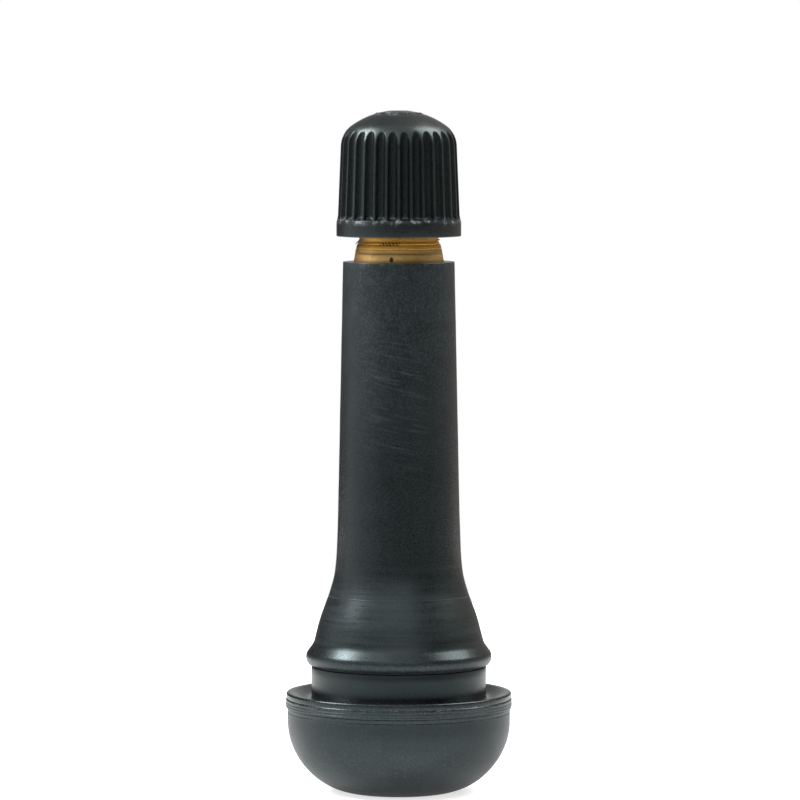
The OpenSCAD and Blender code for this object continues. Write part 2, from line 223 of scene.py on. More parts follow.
def makeMottle():
    group, given, result = newGroup("mottle", ["Scale"], list(mottleLayers))
    for label, layer in mottleLayers.items():
        cloud = put(group, "TexNoise", {"Detail": layer["detail"], "Roughness": layer["roughness"]})
        wire(group, given["Vector"], cloud, "Vector")
        wire(group, times(group, given["Scale"], layer["finer"]), cloud, "Scale")
        wire(group, spread(group, cloud.outputs[0], *layer["shown"]), result, label)
    return group


# lines that run round the axis, as a lathe or a wiping hand leaves
lineLayers = {"Lines": {"finer": 1.0, "shown": (0.36, 0.66)}, "Fine": {"finer": 2.7, "shown": (0.3, 0.7)}}


def makeRoundLines():
    group, given, result = newGroup("roundLines", ["Around", "Along"], list(lineLayers))
    scale = put(group, "CombineXYZ")
    for key, label in enumerate(("Around", "Around", "Along")):
        wire(group, given[label], scale, key)
    stretched = put(group, "VectorMath", operation="MULTIPLY")
    wire(group, given["Vector"], stretched, 0)
    wire(group, scale.outputs[0], stretched, 1)
    for label, layer in lineLayers.items():
        lines = put(group, "TexNoise", {"Scale": layer["finer"], "Detail": 3.0, "Roughness": 0.55})
        wire(group, stretched.outputs[0], lines, "Vector")
        wire(group, spread(group, lines.outputs[0], *layer["shown"]), result, label)
    return group


# rubbed marks that cross a round wall at a slant, with the turn and the height on that wall
scuffMarks = {"stretch": (260.0, 3800.0, 1.0), "detail": 3.0, "roughness": 0.6, "shown": (0.52, 0.74)}


def makeScuffs():
    group, given, result = newGroup("scuffs", ["Slant", "Radius"], ["Rubs", "Turn", "Height"])
    parts = put(group, "SeparateXYZ")
    wire(group, given["Vector"], parts, 0)
    turn = turnOf(group, parts)
    flat = put(group, "CombineXYZ")
    wire(group, times(group, turn, given["Radius"]), flat, 0)
    wire(group, parts.outputs[2], flat, 1)
    slanted = put(group, "VectorRotate", rotation_type="Z_AXIS")
    wire(group, flat.outputs[0], slanted, "Vector")
    wire(group, given["Slant"], slanted, "Angle")
    stretched = put(group, "VectorMath", {1: scuffMarks["stretch"]}, operation="MULTIPLY")
    wire(group, slanted.outputs[0], stretched, 0)
    rubs = put(group, "TexNoise", {"Scale": 1.0, "Detail": scuffMarks["detail"],
                                   "Roughness": scuffMarks["roughness"]})
    wire(group, stretched.outputs[0], rubs, "Vector")
    wire(group, spread(group, rubs.outputs[0], *scuffMarks["shown"]), result, "Rubs")
    wire(group, turn, result, "Turn")
    wire(group, parts.outputs[2], result, "Height")
    return group


mottle = makeMottle()
roundLines = makeRoundLines()
scuffs = makeScuffs()


def newMaterial(name):
    material = bpy.data.materials.new(name)
    material.use_nodes = True
    tree = material.node_tree
    coords = put(tree, "TexCoord").outputs["Object"]
    return material, tree, tree.nodes["Principled BSDF"], coords


def setGloss(shader, look):
    shader.inputs["Specular IOR Level"].default_value = look["specular"]
    shader.inputs["Specular Tint"].default_value = (*look["tint"], 1)


def addBump(tree, shader, height, strength, distance):
    bump = put(tree, "Bump", {"Strength": strength, "Distance": distance * mm})
    wire(tree, height, bump, "Height")
    wire(tree, bump.outputs[0], shader, "Normal")


# in all the looks, curves are (height in mm, level), ranges are (from low, from high, to low, to high)
# and a bump is (strength, distance in mm)
rubberLook = {
    "dark": (0.0026, 0.0033, 0.0036), "dust": (0.054, 0.069, 0.072), "paintedGlint": (0.2, 0.23, 0.23),
    "tint": (0.76, 0.97, 1.0), "specular": 0.46,
    "cloud": {"Scale": 480.0}, "wipes": {"Around": 110.0, "Along": 3800.0},
    "glintDashes": {"Around": 1300.0, "Along": 6000.0}, "scuffs": {"Slant": 0.2, "Radius": 0.0055},
    "blotchShare": 0.5, "speckShare": 0.75, "rubShare": 0.5, "rimGlintShare": 0.6,
    "patchGrain": (0.35, 0.65, -0.25, 0.65), "fineGrain": (0.25, 0.75, 0.0, 0.09),
    "roughGrain": (0.3, 0.7, -0.06, 0.08), "streaks": (0.0, 1.0, 0.03, 0.14), "glintDashesShown": (0.62, 0.95),
    "rubbedSide": 0.08, "rubbedFade": (0.25, 0.7, 1.0, 0.12),
    "streakRough": 0.8, "streakRelief": 2.4, "bump": (0.45, 0.03),
    "curves": {
        # bloom sits on the sleeve and the base, and is wiped off the flare and the bead's upper face; on the
        # bead's lower flank, just above the undercut, it is painted light standing in for light thrown up from the
        # flange and the floor
        "dustAndFlankLight": [(0, 0.32), (4, 0.34), (5.8, 0.14), (7.2, 0.12), (7.5, 0.36), (8.2, 0.5), (8.75, 0.35),
                  (8.95, 0.12), (9.4, 0.0), (11.98, 0.0), (12.04, 0.7), (12.5, 0.45), (13.1, 0.05),
                  (14.5, 0.03), (16, 0.1), (18.7, 0.1), (22, 0.0), (30, 0.0), (35, 0.1), (42, 0.24),
                  (49.4, 0.34), (49.6, 0.8)],
        "flare": [(13, 0.0), (14.5, 1.0), (18.6, 1.0), (23, 0.0)],
        "rubbed": [(29, 0.1), (33, 1.0), (40, 1.0), (44, 0.15)],
        # painted glints along the rim's two edges
        "rimGlintBands": [(8.68, 0.0), (8.73, 1.0), (8.79, 1.0), (8.84, 0.0),
                     (9.2, 0.0), (9.26, 0.2), (9.3, 0.15), (9.34, 0.0)],
        "rough": [(0, 0.42), (7.5, 0.42), (8.5, 0.38), (8.65, 0.2), (8.85, 0.2), (9.0, 0.3), (9.34, 0.2),
                  (9.5, 0.32), (11.7, 0.34), (11.78, 0.65), (11.94, 0.65), (12.0, 0.4), (12.8, 0.38),
                  (13.1, 0.28), (14.4, 0.26), (16, 0.28), (19, 0.29), (23, 0.27), (30, 0.28), (37, 0.34),
                  (49.4, 0.42), (49.6, 0.3)],
        "coarse": [(11.8, 0.7), (12.8, 0.1), (14.5, 0.15), (19, 0.4), (24, 0.7)]}}


def makeRubber():
    look = rubberLook
    material, tree, shader, coords = newMaterial("moulded_rubber")
    cloud = placeGroup(tree, mottle, coords, look["cloud"])
    wipes = placeGroup(tree, roundLines, coords, look["wipes"])
    glintDashes = placeGroup(tree, roundLines, coords, look["glintDashes"])
    rubs = placeGroup(tree, scuffs, coords, look["scuffs"])
    curves = {name: byHeight(tree, rubs["Height"], stops) for name, stops in look["curves"].items()}
    aside = math2(tree, "ABSOLUTE", plus(tree, rubs["Turn"], look["rubbedSide"]))
    rubbed = times(tree, curves["rubbed"], spread(tree, aside, *look["rubbedFade"]))
    streak = times(tree, spread(tree, wipes["Lines"], *look["streaks"]), curves["flare"])
    patchy = plus(tree, times(tree, cloud["Blotch"], look["blotchShare"]),
                  times(tree, cloud["Specks"], look["speckShare"]),
                  spread(tree, cloud["Grain"], *look["patchGrain"]))
    # the dust, which also carries the painted light on the bead's lower flank
    dust = plus(tree, times(tree, curves["dustAndFlankLight"], patchy), spread(tree, cloud["Grain"], *look["fineGrain"]),
                times(tree, rubs["Rubs"], rubbed, look["rubShare"]))
    dust = math2(tree, "ADD", dust, streak, clamp=True)
    color = mixColor(tree, dust, look["dark"], look["dust"])
    # painted glints: broken bright marks along the rim's two edges
    paintedGlint = times(tree, spread(tree, glintDashes["Lines"], *look["glintDashesShown"]), curves["rimGlintBands"],
                    cloud["Blotch"], look["rimGlintShare"])
    wire(tree, mixColor(tree, paintedGlint, color, look["paintedGlint"]), shader, "Base Color")
    rough = plus(tree, curves["rough"], spread(tree, cloud["Grain"], *look["roughGrain"]),
                 times(tree, streak, look["streakRough"]))
    wire(tree, rough, shader, "Roughness")
    setGloss(shader, look)
    relief = plus(tree, times(tree, cloud["Grain"], curves["coarse"]),
                  times(tree, streak, look["streakRelief"]))
    addBump(tree, shader, relief, *look["bump"])
    return material


brassLook = {
    "gold": (1.0, 0.52, 0.09), "tan": (0.76, 0.53, 0.19), "tarnish": (0.2, 0.09, 0.022),
    "pit": (0.05, 0.022, 0.008), "cloud": {"Scale": 800.0}, "around": 120.0,
    "scuffs": {"Slant": 0.4, "Radius": 0.0039},
    "plainPale": 0.15, "plainRough": 0.34, "fineRough": (0.0, 1.0, -0.08, 0.08), "bump": (0.5, 0.02),
    "speckShare": 0.7, "stepLineShare": 0.85, "blotchShare": 0.45, "stepLineSway": 0.035,
    # painted shade on the left end, by turn
    "leftSideShade": (-1.25, -0.7, 0.75, 0.0),
    # the stem's visible end, by height
    "pale": [(49, 1.0), (50.75, 0.9), (50.95, 0.12), (52.4, 0.1), (53, 0.2)],
    "stepLines": [(49.66, 1.0), (49.74, 0.8), (49.84, 0.0), (50.38, 0.0), (50.43, 0.6), (50.5, 0.6), (50.56, 0.0),
             (50.78, 0.0), (50.83, 0.9), (50.92, 0.9), (50.98, 0.0), (51.24, 0.0), (51.29, 0.9), (51.38, 0.9),
             (51.44, 0.0)],
    "metallic": [(49, 0.55), (50.8, 0.55), (51, 0.7), (52.3, 0.75), (53, 1.0)],
    "rough": [(49, 0.56), (50.8, 0.54), (50.95, 0.5), (51.4, 0.46), (51.6, 0.36), (52.4, 0.34), (53, 0.34)]}

# tool marks that slant across the cone's lower edge, and one deep speck near the sleeve, in millimetres
pitMarks = {"radius": 3.9, "slant": 0.8, "spacing": 0.33, "shown": (-0.2, 0.7),
            "edge": 51.4, "edgeFade": (0.1, 0.2), "middle": -0.88, "middleFade": (0.85, 1.05),
            "speckAt": (-0.64, 49.95), "speckSize": (0.2, 0.3), "speckFade": (0.4, 1.1)}


def awayFrom(tree, value, middle):
    return math2(tree, "SUBTRACT", value, middle * mm)


def fadeAway(tree, value, middle, fade):
    away = math2(tree, "ABSOLUTE", awayFrom(tree, value, middle))
    return spread(tree, away, fade[0] * mm, fade[1] * mm, 1.0, 0.0)


def makePits(tree, turn, height):
    aside = times(tree, turn, pitMarks["radius"] * mm)
    slant = plus(tree, aside, times(tree, height, pitMarks["slant"]))
    strokes = math2(tree, "COSINE", times(tree, slant, math.tau / (pitMarks["spacing"] * mm)))
    marks = times(tree, spread(tree, strokes, *pitMarks["shown"]),
                  fadeAway(tree, height, pitMarks["edge"], pitMarks["edgeFade"]),
                  fadeAway(tree, aside, pitMarks["middle"], pitMarks["middleFade"]))
    squares = []
    for value, middle, size in zip((aside, height), pitMarks["speckAt"], pitMarks["speckSize"]):
        part = math2(tree, "DIVIDE", awayFrom(tree, value, middle), size * mm)
        squares.append(times(tree, part, part))
    speck = spread(tree, plus(tree, *squares), *pitMarks["speckFade"], 1.0, 0.0)
    return math2(tree, "MAXIMUM", marks, speck)


def makeBrass(name, tarnish, lathe, worked):
    look = brassLook
    material, tree, shader, coords = newMaterial(name)
    cloud = placeGroup(tree, mottle, coords, look["cloud"])
    lines = placeGroup(tree, roundLines, coords, {"Around": look["around"], "Along": lathe})
    pale, rough, relief = look["plainPale"], look["plainRough"], lines["Lines"]
    if worked:
        rubs = placeGroup(tree, scuffs, coords, look["scuffs"])
        turn, height = rubs["Turn"], rubs["Height"]
        pale, rough, metallic = (byHeight(tree, height, look[curve]) for curve in ("pale", "rough", "metallic"))
    color = mixColor(tree, pale, look["gold"], look["tan"])
    stain = times(tree, spread(tree, lines["Lines"], 0.0, 1.0, 1.0, 0.0), tarnish)
    specks = times(tree, cloud["Specks"], tarnish * look["speckShare"])
    color = mixColor(tree, math2(tree, "ADD", stain, specks, clamp=True), color, look["tarnish"])
    shader.inputs["Metallic"].default_value = 1.0
    if worked:
        # dark lines along the turned steps and at the foot, wavering a little
        sway = look["stepLineSway"] * mm
        wavering = plus(tree, height, spread(tree, cloud["Blotch"], 0.0, 1.0, -sway, sway))
        stepLines = times(tree, byHeight(tree, wavering, look["stepLines"]), look["stepLineShare"])
        color = mixColor(tree, stepLines, color, look["pit"])
        blotch = times(tree, cloud["Blotch"], pale, look["blotchShare"])
        color = mixColor(tree, blotch, color, look["tarnish"])
        # painted shade: the left end is darkened with the tarnish colour
        color = mixColor(tree, spread(tree, turn, *look["leftSideShade"]), color, look["tarnish"])
        pits = makePits(tree, turn, height)
        color = mixColor(tree, pits, color, look["pit"])
        relief = math2(tree, "SUBTRACT", relief, pits)
        wire(tree, metallic, shader, "Metallic")
    wire(tree, color, shader, "Base Color")
    wire(tree, plus(tree, spread(tree, lines["Fine"], *look["fineRough"]), rough), shader, "Roughness")
    addBump(tree, shader, relief, *look["bump"])
    return material


capLook = {
    "black": (0.0055, 0.0061, 0.0062), "worn": (0.026, 0.03, 0.031), "paintedGlint": (0.36, 0.4, 0.39),
    "tint": (0.79, 0.99, 0.99), "specular": 0.58, "rough": (0.3, 0.7, 0.24, 0.42), "bump": (0.25, 0.025),
    "cloud": {"Scale": 600.0}, "glintDashes": {"Scale": 1700.0}, "scuffs": {"Slant": 0.2, "Radius": 0.0056},
    "crestWear": (0.0, 1.0, 0.15, 0.55), "rubShare": 0.2, "speckShare": 0.12, "glintDashesShown": (0.45, 0.8),
    # painted glints at the foot of the flutes and on the crown's ring
    "edges": [(53.24, 0.0), (53.3, 0.9), (53.5, 0.7), (53.75, 0.25), (53.95, 0.0),
              (63.3, 0.0), (63.42, 0.4), (63.58, 0.4), (63.64, 0.0)]}


def makeCapPlastic():
    look = capLook
    material, tree, shader, coords = newMaterial("cap_plastic")
    cloud = placeGroup(tree, mottle, coords, look["cloud"])
    glintDashes = placeGroup(tree, mottle, coords, look["glintDashes"])
    rubs = placeGroup(tree, scuffs, coords, look["scuffs"])
    crest = put(tree, "Attribute", attribute_name="crest").outputs["Fac"]
    wear = plus(tree, times(tree, crest, spread(tree, cloud["Blotch"], *look["crestWear"])),
                times(tree, rubs["Rubs"], crest, look["rubShare"]))
    specks = times(tree, cloud["Specks"], look["speckShare"])
    color = mixColor(tree, math2(tree, "ADD", wear, specks, clamp=True), look["black"], look["worn"])
    # painted glints, in pale, at the flute feet and on the crown's ring
    paintedGlint = times(tree, spread(tree, glintDashes["Blotch"], *look["glintDashesShown"]),
                    byHeight(tree, rubs["Height"], look["edges"]))
    wire(tree, mixColor(tree, paintedGlint, color, look["paintedGlint"]), shader, "Base Color")
    wire(tree, spread(tree, cloud["Grain"], *look["rough"]), shader, "Roughness")
    setGloss(shader, look)
    addBump(tree, shader, cloud["Grain"], *look["bump"])
    return material


sealLook = {"dark": (0.012, 0.012, 0.012), "dust": (0.045, 0.045, 0.043), "tint": (1.0, 1.0, 1.0),
            "specular": 0.4, "cloud": {"Scale": 1200.0}, "blotchShare": 0.5,
            "rough": (0.3, 0.7, 0.45, 0.62), "bump": (0.3, 0.03)}


def makeSealRubber():
    look = sealLook
    material, tree, shader, coords = newMaterial("seal_rubber")
    cloud = placeGroup(tree, mottle, coords, look["cloud"])
    dust = times(tree, cloud["Blotch"], look["blotchShare"])
    wire(tree, mixColor(tree, dust, look["dark"], look["dust"]), shader, "Base Color")
    wire(tree, spread(tree, cloud["Grain"], *look["rough"]), shader, "Roughness")
    setGloss(shader, look)
    addBump(tree, shader, cloud["Grain"], *look["bump"])
    return material


steelLook = {"bright": (0.6, 0.59, 0.56), "dull": (0.36, 0.35, 0.33), "cloud": {"Scale": 1500.0},
             "drawn": {"Around": 200.0, "Along": 5200.0}, "blotchShare": 0.5, "lineShare": 0.3,
             "rough": (0.0, 1.0, 0.22, 0.4), "bump": (0.3, 0.01)}


def makeSteel():
    look = steelLook
    material, tree, shader, coords = newMaterial("drawn_steel")
    cloud = placeGroup(tree, mottle, coords, look["cloud"])
    lines = placeGroup(tree, roundLines, coords, look["drawn"])
    dull = math2(tree, "ADD", times(tree, cloud["Blotch"], look["blotchShare"]),
                 times(tree, lines["Lines"], look["lineShare"]), clamp=True)
    wire(tree, mixColor(tree, dull, look["bright"], look["dull"]), shader, "Base Color")
    shader.inputs["Metallic"].default_value = 1.0
    wire(tree, spread(tree, lines["Fine"], *look["rough"]), shader, "Roughness")
    addBump(tree, shader, lines["Fine"], *look["bump"])
    return material


rubber = makeRubber()
stemBrass = makeBrass("turned_brass", tarnish=0.28, lathe=4200.0, worked=True)
coreBrass = makeBrass("core_brass", tarnish=0.2, lathe=6000.0, worked=False)
capPlastic = makeCapPlastic()
sealRubber = makeSealRubber()
steel = makeSteel()
print("materials made")


# grooves that bond the rubber to the stem's shank, from the top one down
bondGrooves = {"count": 6, "top": 46.66, "step": 1.8, "height": 0.9, "shank": 3.5, "root": 3.1}


def shankGrooves():
    points = []
    shank, root = bondGrooves["shank"], bondGrooves["root"]
    for index in range(bondGrooves["count"]):
        z = bondGrooves["top"] - index * bondGrooves["step"]
        top = z + bondGrooves["height"]
        points += [(shank, top), (root, top), (root, z), (shank, z)]
    return points


# rubber body, moulded round the stem
rubberBody = {
    "outside": [
        (2.3, 0, 0.2, 3), (4.8, 0, 0.2, 3), (10.44, 1.0475, 5.48, 30),  # foot and rounded base
        (10.44, 7.47), (10.4, 7.52), (10.47, 7.55, 0.03, 2), (10.47, 7.86), (10.43, 7.9),  # step
        (10.62, 7.92, 0.12, 4), (10.62, 8.11, 0.012, 2), (10.585, 8.15, 0.012, 2), (10.62, 8.19, 0.012, 2),
        (10.62, 8.38, 0.012, 2), (10.585, 8.42, 0.012, 2), (10.62, 8.46, 0.012, 2), (10.62, 8.74, 0.12, 5),  # ring
        (10.52, 8.8, 0.02, 2), (10.56, 8.87, 0.07, 3), (10.56, 9.35, 0.19, 6),  # sealing lip
        (10.0, 9.35, 0.16, 4), (8.5, 8.81, 0.2, 4), (8.2, 8.81, 0.08, 3),  # dish
        (8.2, 11.76, 0.02, 2), (7.96, 11.8, 0.02, 2), (7.96, 11.92, 0.02, 2),  # neck and the bead's undercut
        (8.42, 11.97, 0.05, 3), (8.63, 12.26, 0.13, 4), (8.79, 12.86, 0.38, 10), (7.99, 13.96, 0.26, 6),  # bead
        (7.37, 16.4, 0.7, 8), (6.584, 18.41), (6.592, 18.45, 0.03, 2), (6.556, 18.5, 0.03, 2),  # flare and crease
        (6.06, 20.15, 0.6, 4), (5.86, 21.8, 0.8, 4), (5.72, 25.0, 1.4, 6), (5.22, 49.66, 0.05, 3)],  # sleeve
    "collarSeat": [(4.23, 49.66), (4.23, 48.76), (3.5, 48.46)],
    "flangeSeat": [(3.5, 5.5), (4.8, 5.5), (4.8, 4.2), (2.3, 4.2)],
    "wedges": 16, "steps": 11, "longestEdge": 0.8, "sharp": 32,
    "skin": 4.3, "footSkin": 0.1,  # what is further in or lower down stays true
    "waviness": 0.011, "longWave": 0.35, "shortWave": 1.3, "shortShare": 0.35,
    "flash": {"ring": 10.62, "height": 7.93, "tall": 0.09, "wide": 0.035}}


def makeRubberBody():
    bm = bmesh.new()
    drawOutline(bm, rubberBody["outside"] + rubberBody["collarSeat"] + shankGrooves() + rubberBody["flangeSeat"])
    splitLongEdges(bm, rubberBody["longestEdge"])
    turnWedge(bm, rubberBody["wedges"], rubberBody["steps"])
    repeatWedge(bm, rubberBody["wedges"])
    flash = rubberBody["flash"]
    for vert in bm.verts:
        out = vert.co.xy.length / mm
        if out < rubberBody["skin"] or vert.co.z < rubberBody["footSkin"] * mm:
            continue
        # the skin sways inwards
        sway = noise.noise(vert.co / mm * rubberBody["longWave"]) - 1.0
        sway += rubberBody["shortShare"] * noise.noise(vert.co / mm * rubberBody["shortWave"])
        vert.co.xy *= 1 + sway * rubberBody["waviness"] / out
        # moulding flash on the ring
        aside = math.atan2(vert.co.y, vert.co.x) / flash["wide"]
        above = (vert.co.z / mm - flash["height"]) / flash["tall"]
        near = math.exp(-(aside ** 2) - above ** 2)
        vert.co.xy *= 1 + max(0, flash["ring"] - out) * near / out
    finishPiece(bm, "rubberBody", "valve_body", "rubber_body", rubber, rubberBody["sharp"])


makeRubberBody()


# fluted cap
capShell = {
    "outline": [
        (0, 61.6), (3.91, 61.6, 0.15, 3), (3.91, 52.47, 0.1, 2), (4.36, 52.02, 0.06, 3),  # bore and mouth
        (5.82, 52.02, 0.1, 4), (5.82, 53.3, 0.06, 3),  # band
        (5.69, 54.04), (5.675, 54.4), (5.42702, 60.44815)],  # side
    "shoulder": {"centre": (2.97908, 60.34769), "angle": 51.49888, "steps": 40},
    "crown": {"centre": (0, 56.27), "angle": 36.15112, "steps": 46},
    # rows on the side as (from, to, cuts), for edges further out and longer than these
    "rows": [(53.2, 54.1, 19), (54.0, 54.45, 9), (54.3, 60.5, 20)], "sideRadius": 5, "rowEdge": 0.3,
    "flutes": 30, "columns": 20, "fluteRadius": 0.44, "floor": 5.19, "draft": 1.95, "draftStart": 54.04,
    "edge": 0.07, "fluteFoot": 53.3, "steepness": 3,
    "runOut": 53.58, "scoop": 0.57, "scoopRadius": 5.76, "scoopEdge": 0.08,
    "plainWear": 0.12, "wearFade": 8, "sharp": 50,
    "topRadius": 4.4, "topHeight": 62.3,
    "ring": {"radius": 2.05, "width": 0.13, "height": 0.06},
    "gate": {"radius": 0.55, "depth": 0.07, "nubRadius": 0.3, "nubShare": 0.6},
    "thread": {"profile": [(3.96, -0.2), (3.96, 0.2), (3.54, 0.05), (3.54, -0.05)],
               "start": 53.25 + capPitch / 2, "turns": 8.6, "pitch": capPitch, "perTurn": 72, "angle": 0}}


def softMin(a, b, width):
    blend = max(0.0, min(1.0, 0.5 + 0.5 * (b - a) / width))
    return b + (a - b) * blend - width * blend * (1 - blend)


# how far out the flute's wall is at this angle and height
def fluteWall(turn, z):
    radius, scoop, steepness = capShell["fluteRadius"], capShell["scoop"], capShell["steepness"]
    drawnIn = (z - capShell["draftStart"]) * math.tan(math.radians(capShell["draft"]))
    middle = capShell["floor"] + radius - drawnIn
    step = 360 / capShell["flutes"]
    aside = middle * math.sin(math.radians((turn + 90) % step - step / 2))
    beyond = max(0.0, abs(aside) - radius)
    wall = math.sqrt(middle ** 2 - aside ** 2) + beyond * steepness
    if not beyond:
        wall -= math.sqrt(radius ** 2 - aside ** 2)
    # the flute runs out in a hollow at its foot
    below = capShell["runOut"] + scoop - z
    if below <= 0:
        return wall
    hollow = capShell["scoopRadius"] - math.sqrt(max(0.0, scoop ** 2 - below ** 2))
    hollow += max(0.0, below - scoop) * steepness
    return -softMin(-wall, -hollow, capShell["scoopEdge"])


# plain moulded ring and gate mark, as a rise of the crown
def crownRise(turn, out):
    ring, gate = capShell["ring"], capShell["gate"]
    pip = max(0.0, math.cos(capShell["flutes"] * turn))
    raised = math.exp(-((out - ring["radius"]) / ring["width"]) ** 4) * pip
    nub = 1 - gate["nubShare"] + gate["nubShare"] * min(1, (out / gate["nubRadius"]) ** 4)
    dimple = math.exp(-(out / gate["radius"]) ** 6) * nub
    return ring["height"] * raised - gate["depth"] * dimple


def makeCap():
    bm = bmesh.new()
    drawOutline(bm, capShell["outline"], closed=False)
    sideTop = capShell["outline"][-1][1] * mm
    crownStart = addArc(bm, [v for v in bm.verts if abs(v.co.z - sideTop) < weld], **capShell["shoulder"])
    addArc(bm, crownStart, **capShell["crown"])
    for low, high, cuts in capShell["rows"]:
        edges = [e for e in bm.edges if e.verts[0].co.x > capShell["sideRadius"] * mm
                 and e.calc_length() > capShell["rowEdge"] * mm
                 and all(low * mm < v.co.z < high * mm for v in e.verts)]
        bmesh.ops.subdivide_edges(bm, edges=edges, cuts=cuts)
    turnWedge(bm, capShell["flutes"], capShell["columns"])
    crest = bm.verts.layers.float.new("crest")
    for vert in bm.verts:
        out, z = vert.co.xy.length / mm, vert.co.z / mm
        turn = math.atan2(vert.co.y, vert.co.x)
        vert[crest] = capShell["plainWear"]
        if out > capShell["topRadius"] and z > capShell["fluteFoot"]:
            cut = softMin(out, fluteWall(math.degrees(turn), z), capShell["edge"])
            vert[crest] = max(0.0, 1 - (out - cut) * capShell["wearFade"])
            vert.co.xy *= cut / out
        elif out < capShell["topRadius"] and z > capShell["topHeight"]:
            vert.co.z += crownRise(turn, out) * mm
    repeatWedge(bm, capShell["flutes"])
    windRidge(bm, **capShell["thread"])
    finishPiece(bm, "capShell", "cap", "cap_shell", capPlastic, capShell["sharp"])


makeCap()


# brass stem with its cap thread
brassStem = {
    "flange": [(2.3, 4.2), (4.8, 4.2, 0.25, 3), (4.8, 5.5, 0.25, 3), (3.5, 5.5, 0.4, 3)],
    "upper": [
        (3.5, 48.46), (4.23, 48.76), (4.23, 49.66), (4.15, 50.0), (4.09, 50.42), (4.04, 50.47), (4.07, 50.52),
        (4.02, 50.82, 0.02, 2), (3.96, 50.87), (3.99, 50.92, 0.02, 2), (3.89, 51.27, 0.03, 2), (3.8, 51.33),
        (3.82, 51.38, 0.02, 2), (3.69, 51.6, 0.1, 3), (3.69, 52.25, 0.05, 2),  # collar, cone and relief
        (3.42, 52.45), (3.42, 60.42, 0.05, 2), (3.34, 60.5),  # thread root
        (2.99, 60.5), (2.64, 60.15), (2.64, 53.5), (2.3, 53.5),  # core's thread
        (2.0, 52.0), (2.0, 41.4), (1.5, 40.9), (1.5, 5.0)],  # core's chamber and bore
    "wedges": 16, "steps": 7, "sharp": 30,
    "capThread": {"profile": [(3.36, -0.29), (3.36, 0.29), (3.85, 0.05), (3.85, -0.05)],
                  "start": 51.601, "turns": 10.87, "pitch": capPitch, "perTurn": 96, "angle": -0.4363},
    "coreThread": {"profile": [(2.68, -0.18), (2.42, -0.05), (2.42, 0.05), (2.68, 0.18)],
                   "start": 58.85, "turns": 1.6, "pitch": 0.7056, "perTurn": 72, "angle": 0.4},
    # the cap thread is cut back at 45 degrees at both ends
    "cutBack": {"above": 51.56, "beyond": 3.45, "foot": (3.69, 51.55), "tip": (3.85, 60.15), "top": 60.5},
    "curl": {"at": (-3.82, 0, 51.5), "lean": (-0.5, 0, -0.5), "thick": 0.1, "thin": 0.015, "long": 0.72}}


def makeStem():
    bm = bmesh.new()
    drawOutline(bm, brassStem["flange"] + shankGrooves()[::-1] + brassStem["upper"])
    turnWedge(bm, brassStem["wedges"], brassStem["steps"])
    repeatWedge(bm, brassStem["wedges"])
    windRidge(bm, **brassStem["capThread"])
    ends = brassStem["cutBack"]
    (footRadius, foot), (tipRadius, tip) = ends["foot"], ends["tip"]
    for vert in bm.verts:
        out, z = vert.co.xy.length / mm, vert.co.z / mm
        if out > ends["beyond"] and z > ends["above"]:
            limit = min(footRadius + (z - foot), tipRadius - (z - tip))
            if out > limit:
                vert.co.xy *= limit / out
            vert.co.z = min(vert.co.z, ends["top"] * mm)
    windRidge(bm, **brassStem["coreThread"])
    # curl of swarf at the relief
    curl = brassStem["curl"]
    cone = bmesh.ops.create_cone(bm, cap_ends=True, segments=6, radius1=curl["thick"] * mm,
                                 radius2=curl["thin"] * mm, depth=curl["long"] * mm)
    lean = Vector(curl["lean"]).to_track_quat("Z", "Y").to_matrix().to_4x4()
    place = Matrix.Translation(Vector(curl["at"]) * mm)
    bmesh.ops.transform(bm, matrix=place @ lean, verts=cone["verts"])
    finishPiece(bm, "brassStem", "valve_body", "brass_stem", stemBrass, brassStem["sharp"])


makeStem()

# the core's pieces and the cap's seal keep their solids
coreDress = {"core_plug": coreBrass, "core_barrel": coreBrass, "valve_cup": coreBrass,
             "core_pin": steel, "core_spring": steel,
             "barrel_gasket": sealRubber, "cup_washer": sealRubber, "cap_seal": sealRubber}

for node, material in coreDress.items():
    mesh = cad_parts[node].data
    mesh.materials.clear()
    mesh.materials.append(material)
print("core dressed")


# studio
studio = {
    "aim": (0, 0, 0.035),
    "lamps": {"leftBox": {"at": (-0.32, -0.02, 0.29), "size": 0.17, "power": 0.95},
              "frontLeftBox": {"at": (-0.17, -0.14, 0.39), "size": 0.22, "power": 0.14},
              "rightBox": {"at": (0.32, 0.09, 0.44), "size": 0.38, "power": 2.4},
              "backLeftBox": {"at": (-0.35, 0.08, 0.45), "size": 0.26, "power": 2.3}},
    # how light the room is round the object, low and higher up, as (degrees towards the right, level)
    "room": [(-180, 0.85), (-174, 0.4), (-164, 0.06), (-138, 0.05), (-124, 0.16), (-108, 0.75), (-84, 0.75),
             (-62, 0.5), (-38, 0.12), (0, 0.07), (28, 0.06), (50, 0.04), (66, 0.08), (76, 0.3), (120, 0.34),
             (150, 0.25), (166, 0.3), (174, 0.5), (180, 0.85)],
    "upper": [(-180, 0.3), (-140, 0.05), (-122, 0.02), (-100, 0.04), (-60, 0.42), (-40, 0.85), (-12, 1.3),
              (12, 1.4), (24, 1.15), (38, 0.4), (48, 0.05), (68, 0.06), (80, 0.35), (110, 0.45), (180, 0.3)],
    "upperFrom": (0.22, 0.46), "ceilingFrom": (0.85, 0.98), "ceiling": (0.6, 0.6, 0.6),
    "warm": (1.0, 0.88, 0.76), "warmSide": [(62, 0.0), (78, 1.0), (150, 1.0), (175, 0.0)]}


def makeLamp(name, at, size, power):
    data = bpy.data.lights.new(name, "AREA")
    data.shape = "DISK"
    data.size = size
    data.energy = power
    lamp = bpy.data.objects.new(name, data)
    lamp.location = at
    lamp.rotation_euler = (Vector(studio["aim"]) - Vector(at)).to_track_quat("-Z", "Y").to_euler()
    bpy.context.scene.collection.objects.link(lamp)


